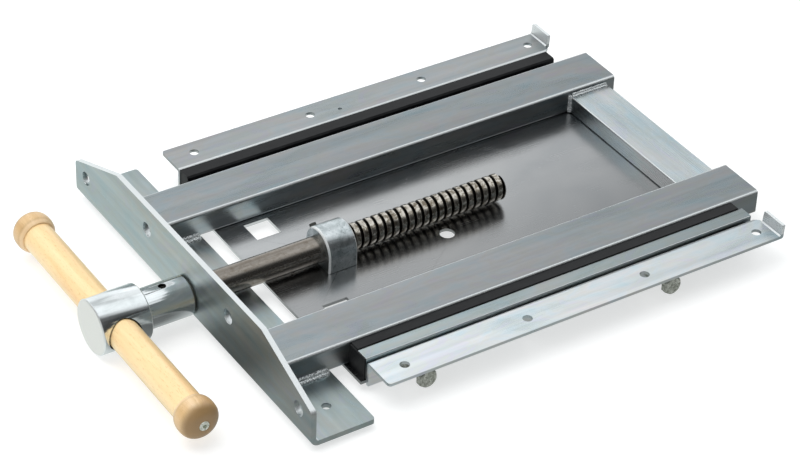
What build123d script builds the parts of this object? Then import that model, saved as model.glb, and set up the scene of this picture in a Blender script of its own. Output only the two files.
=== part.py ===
"""Bench vise for mounting under a bench top, built as separate named sub-parts.

Units are millimetres and +Z is up. The origin is the centre of the eight bench screw holes,
in the plane of the two mounting flanges' top faces. The user stands on the -Y side, and the
vise opens towards -Y. Each node is written to parts/NAME.step.
"""
import os
from math import radians, tan

from build123d import *

# Mounting rails: angle sections, with the flange outwards and the leg down.
RAIL_SHEET = 3.0
RAIL_LEG_X = 161.3          # inner face of each vertical leg
RAIL_OUTER_X = 195.9        # outer edge of each flange
RAIL_BEND = 3.6             # outer bend radius
RAIL_FRONT_Y = -213.0
RAIL_REAR_Y = 202.5
LEG_REAR_Y = 193.0
LEG_BOTTOM_Z = -24.5
FLANGE_HOLE_X = 180.0
FLANGE_HOLE_PITCH = 125.0
FLANGE_HOLE_R = 4.5
PILOT_HOLE_R = 2.0
PILOT_HOLE_CENTRE = (175.0, -32.5)
TAB_INNER_X = 169.5
TAB_HEIGHT = 11.2
TAB_LEAN_DEG = 6.0
BOLT_CLEARANCE = 0.05

# Base plate between the rails.
BASE_TOP_Z = -19.55
BASE_SHEET = 3.0
BASE_FRONT_Y = -218.5
BASE_REAR_Y = 200.0
WINDOW_SIZE = 25.0
WINDOW_CENTRE = (68.2, -179.8)
BASE_HOLE_R = 7.0
BASE_HOLE_CENTRE = (20.8, -38.9)
RAIL_WELD_YS = (-190.0, -70.0, 50.0, 170.0)
RAIL_WELD_LENGTH = 24.0

# Sliding carriage: bent front plate, two guide tubes and a rear crossbar.
PLATE_FRONT_Y = -295.3
PLATE_SHEET = 5.0
PLATE_BEND = 8.0
PLATE_HALF_LENGTH = 207.6
PLATE_TOP_HALF = 126.7
PLATE_END_Z = 11.7
PLATE_TOP_Z = 43.5
PLATE_BOTTOM_Z = -24.5
FOOT_REAR_Y = -233.0
JAW_HOLE_R = 7.0
JAW_INNER_HOLES = (71.3, 19.6)
JAW_OUTER_HOLES = (187.2, 3.0)
FOOT_HOLE_R = 4.2
FOOT_HOLE_CENTRE = (173.4, -259.7)
TUBE_INNER_X = 85.8
TUBE_WIDTH = 50.0
TUBE_HEIGHT = 25.0
TUBE_WALL = 2.0
TUBE_CORNER_R = 3.0
TUBE_REAR_Y = 224.3
CROSSBAR_FRONT_Y = 172.5
CROSSBAR_DEPTH = 43.8
CROSSBAR_HEIGHT = 18.0
CROSSBAR_CORNER_R = 1.5
FOOT_WELD = (5.0, 33.0)      # leg and length of each bead
CROSSBAR_WELD_LEG = 4.0

# Slide liners and the adjusting bar on the right.
SLIDE_GAP = 0.05
LEFT_LINER_REAR_Y = 196.3
LEFT_LINER_WIDTH = 14.0
LEFT_FOOT_HEIGHT = 10.0
LINER_SCREW_YS = (-190.0, -62.0, 62.0, 175.0)
LINER_SCREW_Z = -12.0
LINER_SCREW_R = 2.5
LINER_SCREW_DEPTH = 10.5
LINER_SCREW_HEAD_R = 4.5
LINER_SCREW_HEAD = 2.6
RIGHT_LINER_REAR_Y = 193.0
RIGHT_LINER_WIDTH = 10.7
RIGHT_LINER_TOP_Z = 3.5
LINER_CAP = 1.5             # the liner's end, across the bar's front
BAR_WIDTH = 13.5
BAR_TOP_Z = 2.5
BAR_REAR_Y = 197.2
BOLT_YS = (-172.2, 84.8)
BOLT_Z = -12.5
BOLT_R = 5.0
BOLT_HEAD_FLATS = 16.0
BOLT_HEAD_X = 194.0         # outer face of each head
BOLT_HEAD_THICK = 6.4
LOCK_NUT_THICK = 5.0

# Spindle, nut, hub and handle.
SPINDLE_Z = -4.5
SPINDLE_R = 12.5
SPINDLE_FRONT_Y = -352.0
SPINDLE_REAR_Y = 31.8
THREAD_START_Y = -160.0
THREAD_PITCH = 8.0
THREAD_DEPTH = 3.2
GROOVE_MOUTH = 3.2          # the thread groove's width at the crests
GROOVE_FLOOR = 1.9
NUT_FRONT_Y = -163.5
NUT_LENGTH = 29.5
NUT_R = 20.8
NUT_CHAMFER = 1.6
NUT_FOOT_CHAMFER = 1.0
NUT_BORE_CLEARANCE = 0.08
NUT_SCREW_X = 16.6
NUT_SCREW_R = 2.5
NUT_SCREW_LENGTH = 9.0
NUT_SCREW_HEAD_R = 4.2
NUT_SCREW_HEAD = 3.0
GREASE_ANGLE_DEG = 52.0
GREASE_Y = -158.0
GREASE_R = 2.5
GREASE_TIP_RADIUS = 18.0    # the screw's tip, from the spindle's axis
GREASE_HEAD_R = 3.2
GREASE_HEAD = 2.6
WASHER_THICK = 2.5
WASHER_R = 15.2
WASHER_CLEARANCE = 0.1
RING_THICK = 2.0
RING_R = 14.6
RING_SEAT_R = 11.4
RING_MOUTH = 6.0
HUB_FRONT_Y = -388.2
HUB_R = 25.5
HUB_CHAMFER = 1.2
HUB_SHOULDER_Y = -341.0
NECK_R = 18.5
NECK_REAR_Y = -296.7
SET_SCREW_Y = -319.2
SET_SCREW_R = 3.4
SET_SCREW_LENGTH = 3.0
SET_SCREW_SOCKET_R = 1.6
HANDLE_Y = -368.0
HANDLE_R = 14.4
HANDLE_BORE_R = 15.5
HANDLE_HALF = 137.0         # from the middle to each knob's inner face
KNOB_R = 18.4
KNOB_LENGTH = 23.5
KNOB_SOCKET = 12.0
TENON_R = 9.0
KNOB_SCREW_R = 2.2
KNOB_SCREW_TIP = 2.0        # how far each screw reaches into the bar itself
KNOB_SCREW_HEAD_R = 4.6
KNOB_SCREW_HEAD = 3.8
KNOB_SCREW_SUNK = 3.0
KNOB_SCREW_SOCKET_R = 2.1

SIDES = (("left", -1), ("right", 1))
TUBE_BOTTOM_Z = PLATE_BOTTOM_Z + PLATE_SHEET
TUBE_OUTER_X = TUBE_INNER_X + TUBE_WIDTH
PLATE_REAR_Y = PLATE_FRONT_Y + PLATE_SHEET
RING_GROOVE_Y = PLATE_REAR_Y + WASHER_THICK + WASHER_CLEARANCE


def box(x0, x1, y0, y1, z0, z1):
    """A box between two corners."""
    centre = ((x0 + x1) / 2, (y0 + y1) / 2, (z0 + z1) / 2)
    return Pos(*centre) * Box(abs(x1 - x0), abs(y1 - y0), abs(z1 - z0))


def rod_x(x0, x1, y, z, r):
    """A cylinder along X."""
    return Pos((x0 + x1) / 2, y, z) * Rot(0, 90, 0) * Cylinder(r, abs(x1 - x0))


def rod_y(y0, y1, x, z, r):
    """A cylinder along Y."""
    return Pos(x, (y0 + y1) / 2, z) * Rot(90, 0, 0) * Cylinder(r, abs(y1 - y0))


def rod_z(z0, z1, x, y, r):
    """A cylinder along Z."""
    return Pos(x, y, (z0 + z1) / 2) * Cylinder(r, abs(z1 - z0))


def prism_y(points, y0, y1):
    """A prism along Y over a closed outline of (x, z) points."""
    outline = Polyline(*[(x, y0, z) for x, z in points], close=True)
    return extrude(make_face(outline), amount=abs(y1 - y0), dir=(0, 1, 0))


def prism_x(points, x0, x1):
    """A prism along X over a closed outline of (y, z) points."""
    outline = Polyline(*[(x0, y, z) for y, z in points], close=True)
    return extrude(make_face(outline), amount=abs(x1 - x0), dir=(1, 0, 0))


def mirrored(solid, side):
    """The right-hand solid itself, or its mirror image for the left side."""
    return solid if side > 0 else mirror(solid, about=Plane.YZ)


def revolve_x(points, y, z):
    """A solid turned about an axis along X from (x, radius) points that start and end on it."""
    outline = Polyline(*[(x, r, 0) for x, r in points], close=True)
    return Pos(0, y, z) * revolve(make_face(outline), axis=Axis.X)


def hexagon_x(x0, x1, y, z, flats):
    """A hexagonal prism along X, with its corners slightly turned off on the far face."""
    hexagon = RegularPolygon(flats / 2, 6, major_radius=False)
    blank = Pos(x0, y, z) * Rot(0, 90, 0) * extrude(hexagon, amount=x1 - x0)
    turned = revolve_x(
        [(x0, 0), (x0, flats), (x1 - 1.2, flats * 0.577), (x1, flats * 0.5), (x1, 0)], y, z
    )
    return blank & turned


def flange_hole_ys():
    """The four bench screw positions along a rail."""
    return [FLANGE_HOLE_PITCH * (i - 1.5) for i in range(4)]


def mounting_rail(side):
    """An angle section with four screw holes and an upturned tab at its rear end."""
    flange = box(RAIL_LEG_X, RAIL_OUTER_X, RAIL_FRONT_Y, RAIL_REAR_Y, -RAIL_SHEET, 0)
    flange = fillet(flange.edges().filter_by(Axis.Z).group_by(Axis.Y)[0].sort_by(Axis.X)[-1:], 3.0)
    flange = chamfer(flange.edges().filter_by(Axis.Z).group_by(Axis.Y)[-1].sort_by(Axis.X)[:1], 5.5, 7.0)
    leg = box(RAIL_LEG_X, RAIL_LEG_X + RAIL_SHEET, RAIL_FRONT_Y, LEG_REAR_Y, LEG_BOTTOM_Z, 0)
    rail = flange + leg
    bend = [
        edge for edge in rail.edges().filter_by(Axis.Y)
        if abs(edge.center().X - RAIL_LEG_X) < 0.1 and abs(edge.center().Z) < 0.1
    ]
    rail = fillet(bend, RAIL_BEND)
    lean = TAB_HEIGHT * tan(radians(TAB_LEAN_DEG))
    tab = prism_x(
        [
            (RAIL_REAR_Y - 0.5, -RAIL_SHEET),
            (RAIL_REAR_Y + RAIL_SHEET - 1.0, -RAIL_SHEET),
            (RAIL_REAR_Y + RAIL_SHEET + 0.4, -RAIL_SHEET + 1.4),
            (RAIL_REAR_Y + RAIL_SHEET + lean, TAB_HEIGHT),
            (RAIL_REAR_Y + lean, TAB_HEIGHT),
            (RAIL_REAR_Y + 0.2, 1.2),
            (RAIL_REAR_Y - 1.2, 0),
            (RAIL_REAR_Y - 1.2, -RAIL_SHEET),
        ],
        TAB_INNER_X, RAIL_OUTER_X,
    )
    top_edges = tab.edges().group_by(Axis.Z)[-1]
    tab = fillet([e for e in top_edges if abs(e.tangent_at(0).X) < 0.1], 1.5)
    rail = rail + tab
    for y in flange_hole_ys():
        rail -= rod_z(-RAIL_SHEET - 1, 1, FLANGE_HOLE_X, y, FLANGE_HOLE_R)
    if side > 0:
        for y in BOLT_YS:
            hole_r = BOLT_R + BOLT_CLEARANCE
            rail -= rod_x(RAIL_LEG_X - 1, RAIL_LEG_X + RAIL_SHEET + 1, y, BOLT_Z, hole_r)
    else:
        rail -= rod_z(-RAIL_SHEET - 1, 1, *PILOT_HOLE_CENTRE, PILOT_HOLE_R)
        for y in LINER_SCREW_YS:
            rail -= rod_x(RAIL_LEG_X - 1, RAIL_LEG_X + RAIL_SHEET + 1, y, LINER_SCREW_Z, LINER_SCREW_R)
    return mirrored(rail, side)


def base_plate():
    """The flat plate joining the rails, with two square windows, two holes and the nut's screw holes."""
    plate = box(
        -RAIL_LEG_X, RAIL_LEG_X, BASE_FRONT_Y, BASE_REAR_Y, BASE_TOP_Z - BASE_SHEET, BASE_TOP_Z
    )
    for _, side in SIDES:
        x, y = side * WINDOW_CENTRE[0], WINDOW_CENTRE[1]
        half = WINDOW_SIZE / 2
        plate -= box(x - half, x + half, y - half, y + half, -30, 0)
        plate -= rod_z(-30, 0, side * BASE_HOLE_CENTRE[0], BASE_HOLE_CENTRE[1], BASE_HOLE_R)
        plate -= nut_screw_place(side, BASE_TOP_Z) * Cylinder(NUT_SCREW_R, 4 * BASE_SHEET)
    return plate


def rail_weld_beads():
    """Stitch welds under the base plate, in the corner with each rail's leg."""
    x, z = RAIL_LEG_X, BASE_TOP_Z - BASE_SHEET
    drop = LEG_BOTTOM_Z - z
    outline = [(x, z), (x - 3.0, z), (x - 1.2, z + drop * 0.6), (x, z + drop)]
    beads = []
    for _, side in SIDES:
        for y in RAIL_WELD_YS:
            bead = prism_y(outline, y - RAIL_WELD_LENGTH / 2, y + RAIL_WELD_LENGTH / 2)
            beads.append(mirrored(bead, side))
    return beads


def left_slide_liner():
    """A plastic runner on the left rail: an upright that backs on the leg, and a guiding foot."""
    x0 = -RAIL_LEG_X
    x1 = x0 + LEFT_LINER_WIDTH
    x2 = -TUBE_OUTER_X - SLIDE_GAP
    foot = BASE_TOP_Z + LEFT_FOOT_HEIGHT
    points = [
        (x0, BASE_TOP_Z), (x2, BASE_TOP_Z), (x2, foot - 1), (x2 - 1, foot), (x1, foot),
        (x1, -1.5), (x1 - 1.5, 0), (x0, 0),
    ]
    liner = prism_y(points, RAIL_FRONT_Y + 0.5, LEFT_LINER_REAR_Y)
    for y in LINER_SCREW_YS:
        liner -= rod_x(x0 - 1, x0 + LINER_SCREW_DEPTH + 0.5, y, LINER_SCREW_Z, LINER_SCREW_R)
    return liner


def left_liner_screws():
    """Pan-head screws that hold the left liner from outside the leg."""
    outer, z = -RAIL_LEG_X - RAIL_SHEET, LINER_SCREW_Z
    screws = []
    for y in LINER_SCREW_YS:
        shank = rod_x(outer, -RAIL_LEG_X + LINER_SCREW_DEPTH, y, z, LINER_SCREW_R)
        head = rod_x(outer - LINER_SCREW_HEAD, outer, y, z, LINER_SCREW_HEAD_R)
        head = fillet(head.faces().sort_by(Axis.X)[0].edges(), 1.2)
        cross = box(outer - 3, outer - 1.4, y - 0.6, y + 0.6, z - 3, z + 3)
        cross += box(outer - 3, outer - 1.4, y - 3, y + 3, z - 0.6, z + 0.6)
        screws.append(shank + head - cross)
    return screws


def gib_edges():
    """Where the right liner and the adjusting bar begin and end along X."""
    liner_inner = TUBE_OUTER_X + SLIDE_GAP
    bar_inner = liner_inner + RIGHT_LINER_WIDTH
    return liner_inner, bar_inner, bar_inner + BAR_WIDTH


def right_slide_liner():
    """A plastic runner between the adjusting bar and the right tube, capping the bar's front."""
    x0, x1, x2 = gib_edges()
    z0, z1 = BASE_TOP_Z + SLIDE_GAP, RIGHT_LINER_TOP_Z
    points = [(x0, z0), (x1, z0), (x1, z1 - 0.5), (x1 - 0.5, z1), (x0, z1)]
    liner = prism_y(points, RAIL_FRONT_Y, RIGHT_LINER_REAR_Y)
    return liner + box(x0, x2, RAIL_FRONT_Y - LINER_CAP, RAIL_FRONT_Y, z0, BAR_TOP_Z)


def adjusting_bar():
    """The flat steel bar that the adjusting bolts push against the right liner."""
    _, x0, x1 = gib_edges()
    bar = box(x0, x1, RAIL_FRONT_Y, BAR_REAR_Y, BASE_TOP_Z + SLIDE_GAP, BAR_TOP_Z)
    return chamfer(bar.edges().filter_by(Axis.Y).group_by(Axis.Z)[-1], 0.5)


def adjusting_bolt(y):
    """A hexagon bolt through the right leg, with its tip on the adjusting bar."""
    _, _, tip = gib_edges()
    underside = BOLT_HEAD_X - BOLT_HEAD_THICK
    shank = rod_x(tip, underside, y, BOLT_Z, BOLT_R)
    shank = chamfer(shank.faces().sort_by(Axis.X)[0].edges(), 0.8)
    return shank + hexagon_x(underside, BOLT_HEAD_X, y, BOLT_Z, BOLT_HEAD_FLATS)


def bolt_lock_nuts():
    """The thin nuts that lock the adjusting bolts against the leg."""
    face = RAIL_LEG_X + RAIL_SHEET
    nuts = []
    for y in BOLT_YS:
        nut = hexagon_x(face, face + LOCK_NUT_THICK, y, BOLT_Z, BOLT_HEAD_FLATS)
        nut -= rod_x(face - 1, face + LOCK_NUT_THICK + 1, y, BOLT_Z, BOLT_R + BOLT_CLEARANCE)
        nuts.append(nut)
    return nuts


def front_plate():
    """The bent front plate: a tall web facing the user and a foot turned back under the tubes."""
    y0, y1 = PLATE_FRONT_Y, PLATE_REAR_Y
    web = prism_y(
        [
            (-PLATE_HALF_LENGTH, PLATE_BOTTOM_Z), (PLATE_HALF_LENGTH, PLATE_BOTTOM_Z),
            (PLATE_HALF_LENGTH, PLATE_END_Z), (PLATE_TOP_HALF, PLATE_TOP_Z),
            (-PLATE_TOP_HALF, PLATE_TOP_Z), (-PLATE_HALF_LENGTH, PLATE_END_Z),
        ],
        y0, y1,
    )
    web = fillet(web.edges().filter_by(Axis.Y).filter_by(lambda e: e.center().Z > 0), 5.0)
    foot = box(
        -PLATE_HALF_LENGTH, PLATE_HALF_LENGTH, y0, FOOT_REAR_Y, PLATE_BOTTOM_Z, TUBE_BOTTOM_Z
    )
    foot = fillet(foot.edges().filter_by(Axis.Z).group_by(Axis.Y)[-1], 3.0)
    plate = web + foot
    bends = ((y0, PLATE_BOTTOM_Z, PLATE_BEND), (y1, TUBE_BOTTOM_Z, PLATE_BEND - PLATE_SHEET))
    for y, z, bend_r in bends:
        corner = [
            e for e in plate.edges().filter_by(Axis.X)
            if abs(e.center().Y - y) < 0.1 and abs(e.center().Z - z) < 0.1
        ]
        plate = fillet(corner, bend_r)
    plate -= rod_y(y0 - 1, y1 + 1, 0, SPINDLE_Z, SPINDLE_R + NUT_BORE_CLEARANCE)
    for _, side in SIDES:
        for x, z in (JAW_INNER_HOLES, JAW_OUTER_HOLES):
            plate -= rod_y(y0 - 1, y1 + 1, side * x, z, JAW_HOLE_R)
        x, y = FOOT_HOLE_CENTRE
        plate -= rod_z(PLATE_BOTTOM_Z - 1, TUBE_BOTTOM_Z + 1, side * x, y, FOOT_HOLE_R)
    return plate


def guide_tube(side):
    """A closed rectangular tube that stands on the foot and butts on the web."""
    z0, z1 = TUBE_BOTTOM_Z, TUBE_BOTTOM_Z + TUBE_HEIGHT
    front = PLATE_REAR_Y
    x0, x1, wall = TUBE_INNER_X, TUBE_OUTER_X, TUBE_WALL
    tube = box(x0, x1, front, TUBE_REAR_Y, z0, z1)
    tube = fillet(tube.edges().filter_by(Axis.Y), TUBE_CORNER_R)
    bore = box(x0 + wall, x1 - wall, front - 1, TUBE_REAR_Y + 1, z0 + wall, z1 - wall)
    tube -= fillet(bore.edges().filter_by(Axis.Y), TUBE_CORNER_R - wall)
    # The lower front corner is relieved to clear the plate's inner bend.
    relief = PLATE_BEND - PLATE_SHEET
    tube -= prism_x([(front, z0), (front + relief, z0), (front, z0 + relief)], x0 - 1, x1 + 1)
    return mirrored(tube, side)


def rear_crossbar():
    """A low rectangular tube welded between the guide tubes."""
    y0, y1 = CROSSBAR_FRONT_Y, CROSSBAR_FRONT_Y + CROSSBAR_DEPTH
    z0, z1 = TUBE_BOTTOM_Z, TUBE_BOTTOM_Z + CROSSBAR_HEIGHT
    end, wall = TUBE_INNER_X, TUBE_WALL
    bar = box(-end, end, y0, y1, z0, z1)
    bar = fillet(bar.edges().filter_by(Axis.X), CROSSBAR_CORNER_R)
    return bar - box(-end - 1, end + 1, y0 + wall, y1 - wall, z0 + wall, z1 - wall)


def bead_y(x, z, y0, y1, leg, direction):
    """A fillet weld along Y, in the corner of a face at x and a floor at z."""
    points = [
        (x, z), (x + direction * leg, z), (x + direction * leg * 0.62, z + leg * 0.62), (x, z + leg)
    ]
    return prism_y(points, y0, y1)


def foot_weld_beads():
    """Fillet welds between the guide tubes and the foot, on both sides of each tube."""
    leg, length = FOOT_WELD
    y1 = FOOT_REAR_Y - 1
    beads = []
    for _, side in SIDES:
        for x, direction in ((TUBE_INNER_X, -1), (TUBE_OUTER_X, 1)):
            bead = bead_y(x, TUBE_BOTTOM_Z, y1 - length, y1, leg, direction)
            beads.append(mirrored(bead, side))
    return beads


def crossbar_weld_beads():
    """Fillet welds across the crossbar's ends, against the guide tubes."""
    y0, y1 = CROSSBAR_FRONT_Y + 1, CROSSBAR_FRONT_Y + CROSSBAR_DEPTH - 1
    bead = bead_y(TUBE_INNER_X, TUBE_BOTTOM_Z + CROSSBAR_HEIGHT, y0, y1, CROSSBAR_WELD_LEG, -1)
    return [mirrored(bead, side) for _, side in SIDES]


def spindle_rod():
    """The steel screw: plain towards the handle, with a coarse right-hand thread behind."""
    plain = rod_y(SPINDLE_FRONT_Y, THREAD_START_Y, 0, SPINDLE_Z, SPINDLE_R)
    groove = rod_y(RING_GROOVE_Y, RING_GROOVE_Y + RING_THICK, 0, SPINDLE_Z, SPINDLE_R + 1)
    groove -= rod_y(RING_GROOVE_Y - 1, RING_GROOVE_Y + RING_THICK + 1, 0, SPINDLE_Z, RING_SEAT_R)
    plain -= groove
    length = SPINDLE_REAR_Y - THREAD_START_Y
    on_base = (Align.CENTER, Align.CENTER, Align.MIN)
    path = Helix(pitch=THREAD_PITCH, height=length + THREAD_PITCH, radius=SPINDLE_R - 1)
    floor, mouth = GROOVE_FLOOR / 2, GROOVE_MOUTH / 2
    profile = Polyline(
        (1 - THREAD_DEPTH, -floor), (1.6, -mouth), (1.6, mouth), (1 - THREAD_DEPTH, floor), close=True
    )
    section = Plane(origin=path @ 0, x_dir=(1, 0, 0), z_dir=path % 0) * make_face(profile)
    # The groove is cut in an overlong blank, which is then trimmed to the chamfered end.
    overlong = Cylinder(SPINDLE_R, length + 5 * THREAD_PITCH, align=on_base)
    trimmed = Cylinder(SPINDLE_R, length, align=on_base)
    trimmed = chamfer(trimmed.edges().sort_by(Axis.Z)[-1:], 2.0)
    threaded = (overlong - sweep(section, path=path, is_frenet=True)) & trimmed
    return plain + Pos(0, THREAD_START_Y, SPINDLE_Z) * Rot(-90, 0, 0) * threaded


def front_thrust_washer():
    """The washer between the hub's neck and the front plate."""
    hole_r = SPINDLE_R + WASHER_CLEARANCE
    washer = rod_y(NECK_REAR_Y + 0.05, PLATE_FRONT_Y, 0, SPINDLE_Z, WASHER_R)
    return washer - rod_y(NECK_REAR_Y - 1, PLATE_FRONT_Y + 1, 0, SPINDLE_Z, hole_r)


def rear_thrust_washer():
    """The washer behind the front plate's web, cut flat to clear the plate's bend."""
    y0, y1 = PLATE_REAR_Y, PLATE_REAR_Y + WASHER_THICK
    flat_z = TUBE_BOTTOM_Z + PLATE_BEND - PLATE_SHEET + 0.2
    washer = rod_y(y0, y1, 0, SPINDLE_Z, WASHER_R)
    washer -= box(-20, 20, y0 - 1, y1 + 1, -40, flat_z)
    return washer - rod_y(y0 - 1, y1 + 1, 0, SPINDLE_Z, SPINDLE_R + WASHER_CLEARANCE)


def retaining_ring():
    """The open ring in the spindle's groove that holds the spindle in the front plate."""
    y0, y1 = RING_GROOVE_Y, RING_GROOVE_Y + RING_THICK
    ring = rod_y(y0, y1, 0, SPINDLE_Z, RING_R) - rod_y(y0 - 1, y1 + 1, 0, SPINDLE_Z, RING_SEAT_R)
    half = RING_MOUTH / 2
    return ring - box(-half, half, y0 - 1, y1 + 1, SPINDLE_Z + 5, SPINDLE_Z + 20)


def on_grease_line(r, radius, length):
    """A cylinder on the slanting line of the grease hole, from a radius about the spindle."""
    along = Pos(0, GREASE_Y, SPINDLE_Z) * Rot(0, -GREASE_ANGLE_DEG, 0)
    return along * Pos(0, 0, radius + length / 2) * Cylinder(r, length)


def spindle_nut():
    """A half-round steel block on the base plate, bored for the spindle and for grease."""
    y0, y1 = NUT_FRONT_Y, NUT_FRONT_Y + NUT_LENGTH
    nut = rod_y(y0, y1, 0, SPINDLE_Z, NUT_R)
    nut += box(-NUT_R, NUT_R, y0, y1, BASE_TOP_Z - 10, SPINDLE_Z)
    nut -= box(-40, 40, y0 - 1, y1 + 1, -60, BASE_TOP_Z)
    rims = [e for e in nut.edges() if e.geom_type == GeomType.CIRCLE]
    nut = chamfer(rims, NUT_CHAMFER)
    nut = chamfer(nut.edges().filter_by(Axis.Y).group_by(Axis.Z)[0], NUT_FOOT_CHAMFER)
    nut -= rod_y(y0 - 1, y1 + 1, 0, SPINDLE_Z, SPINDLE_R + NUT_BORE_CLEARANCE)
    for _, side in SIDES:
        nut -= nut_screw_place(side, BASE_TOP_Z) * Cylinder(NUT_SCREW_R, 2 * NUT_SCREW_LENGTH)
    return nut - on_grease_line(GREASE_R, 0, NUT_R + 5)


def nut_screw_place(side, z):
    """A point on the axis of a nut screw."""
    return Pos(side * NUT_SCREW_X, NUT_FRONT_Y + NUT_LENGTH / 2, z)


def nut_screws():
    """The two screws that hold the nut block from under the base plate, with sockets."""
    underside = BASE_TOP_Z - BASE_SHEET
    length = BASE_SHEET + NUT_SCREW_LENGTH
    socket = extrude(RegularPolygon(NUT_SCREW_R, 6), amount=2.0)
    screws = []
    for _, side in SIDES:
        screw = nut_screw_place(side, underside + length / 2) * Cylinder(NUT_SCREW_R, length)
        head_z = underside - NUT_SCREW_HEAD / 2
        screw += nut_screw_place(side, head_z) * Cylinder(NUT_SCREW_HEAD_R, NUT_SCREW_HEAD)
        screws.append(screw - nut_screw_place(side, underside - NUT_SCREW_HEAD) * socket)
    return screws


def nut_grease_screw():
    """The small dark screw that closes the grease hole in the nut block's left shoulder."""
    shank = on_grease_line(GREASE_R, GREASE_TIP_RADIUS, NUT_R - GREASE_TIP_RADIUS)
    return shank + on_grease_line(GREASE_HEAD_R, NUT_R, GREASE_HEAD)


def handle_hub():
    """The turned hub: a wide head bored across for the handle, and a neck on the spindle."""
    head = rod_y(HUB_FRONT_Y, HUB_SHOULDER_Y, 0, SPINDLE_Z, HUB_R)
    head = chamfer(head.edges().filter_by(GeomType.CIRCLE), HUB_CHAMFER)
    neck = rod_y(HUB_SHOULDER_Y - 1, NECK_REAR_Y, 0, SPINDLE_Z, NECK_R)
    neck = chamfer(neck.edges().sort_by(Axis.Y)[-1:], 0.8)
    hub = head + neck
    hub -= rod_y(SPINDLE_FRONT_Y, NECK_REAR_Y + 1, 0, SPINDLE_Z, SPINDLE_R)
    hub -= rod_x(-HUB_R - 1, HUB_R + 1, HANDLE_Y, SPINDLE_Z, HANDLE_BORE_R)
    return hub - rod_z(SPINDLE_Z + 5, SPINDLE_Z + NECK_R + 1, 0, SET_SCREW_Y, SET_SCREW_R)


def hub_set_screw():
    """The socket screw sunk in the neck, on the spindle."""
    z0, z1 = SPINDLE_Z + SPINDLE_R, SPINDLE_Z + SPINDLE_R + SET_SCREW_LENGTH
    screw = rod_z(z0, z1, 0, SET_SCREW_Y, SET_SCREW_R)
    socket = extrude(RegularPolygon(SET_SCREW_SOCKET_R, 6), amount=2.0)
    return screw - Pos(0, SET_SCREW_Y, z1 - 1.6) * socket


def handle_bar():
    """The wooden handle bar, with a turned-down end in each knob."""
    end = HANDLE_HALF + KNOB_SOCKET
    bar = rod_x(-HANDLE_HALF, HANDLE_HALF, HANDLE_Y, SPINDLE_Z, HANDLE_R)
    bar += rod_x(-end, end, HANDLE_Y, SPINDLE_Z, TENON_R)
    hole = rod_x(HANDLE_HALF - KNOB_SCREW_TIP, end + 1, HANDLE_Y, SPINDLE_Z, KNOB_SCREW_R)
    return bar - hole - mirrored(hole, -1)


def handle_knob(side):
    """A rounded wooden knob with a flat inner shoulder and a counterbored end."""
    x0, x1, r = HANDLE_HALF, HANDLE_HALF + KNOB_LENGTH, KNOB_R
    shoulder, widest, end_face = 0.86 * r, x0 + 0.44 * KNOB_LENGTH, 0.3 * r
    side_arc = Spline(
        (x0, shoulder, 0), (x0 + 0.14 * KNOB_LENGTH, 0.955 * r, 0), (widest, r, 0),
        (x0 + 0.70 * KNOB_LENGTH, 0.94 * r, 0), (x0 + 0.88 * KNOB_LENGTH, 0.73 * r, 0),
        (x0 + 0.98 * KNOB_LENGTH, 0.47 * r, 0), (x1, end_face, 0),
    )
    inner_face = Line((x0, 0, 0), (x0, shoulder, 0))
    tip = Polyline((x1, end_face, 0), (x1, 0, 0), (x0, 0, 0))
    knob = revolve(make_face(inner_face + side_arc + tip), axis=Axis.X)
    knob = Pos(0, HANDLE_Y, SPINDLE_Z) * knob
    knob -= rod_x(x0 - 1, x0 + KNOB_SOCKET, HANDLE_Y, SPINDLE_Z, TENON_R)
    knob -= rod_x(x0, x1 + 1, HANDLE_Y, SPINDLE_Z, KNOB_SCREW_R)
    knob -= rod_x(x1 - KNOB_SCREW_SUNK, x1 + 1, HANDLE_Y, SPINDLE_Z, KNOB_SCREW_HEAD_R)
    return mirrored(knob, side)


def knob_screws():
    """The screws in the ends of the handle, each with a round head and a socket."""
    seat = HANDLE_HALF + KNOB_LENGTH - KNOB_SCREW_SUNK
    head = rod_x(seat, seat + KNOB_SCREW_HEAD, HANDLE_Y, SPINDLE_Z, KNOB_SCREW_HEAD_R)
    head = fillet(head.faces().sort_by(Axis.X)[-1].edges(), 1.0)
    shank = rod_x(HANDLE_HALF - KNOB_SCREW_TIP, seat, HANDLE_Y, SPINDLE_Z, KNOB_SCREW_R)
    hexagon = extrude(RegularPolygon(KNOB_SCREW_SOCKET_R, 6), amount=KNOB_SCREW_HEAD)
    socket = Pos(seat + 1.4, HANDLE_Y, SPINDLE_Z) * Rot(0, 90, 0) * hexagon
    screw = head + shank - socket
    return [mirrored(screw, side) for _, side in SIDES]


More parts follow.
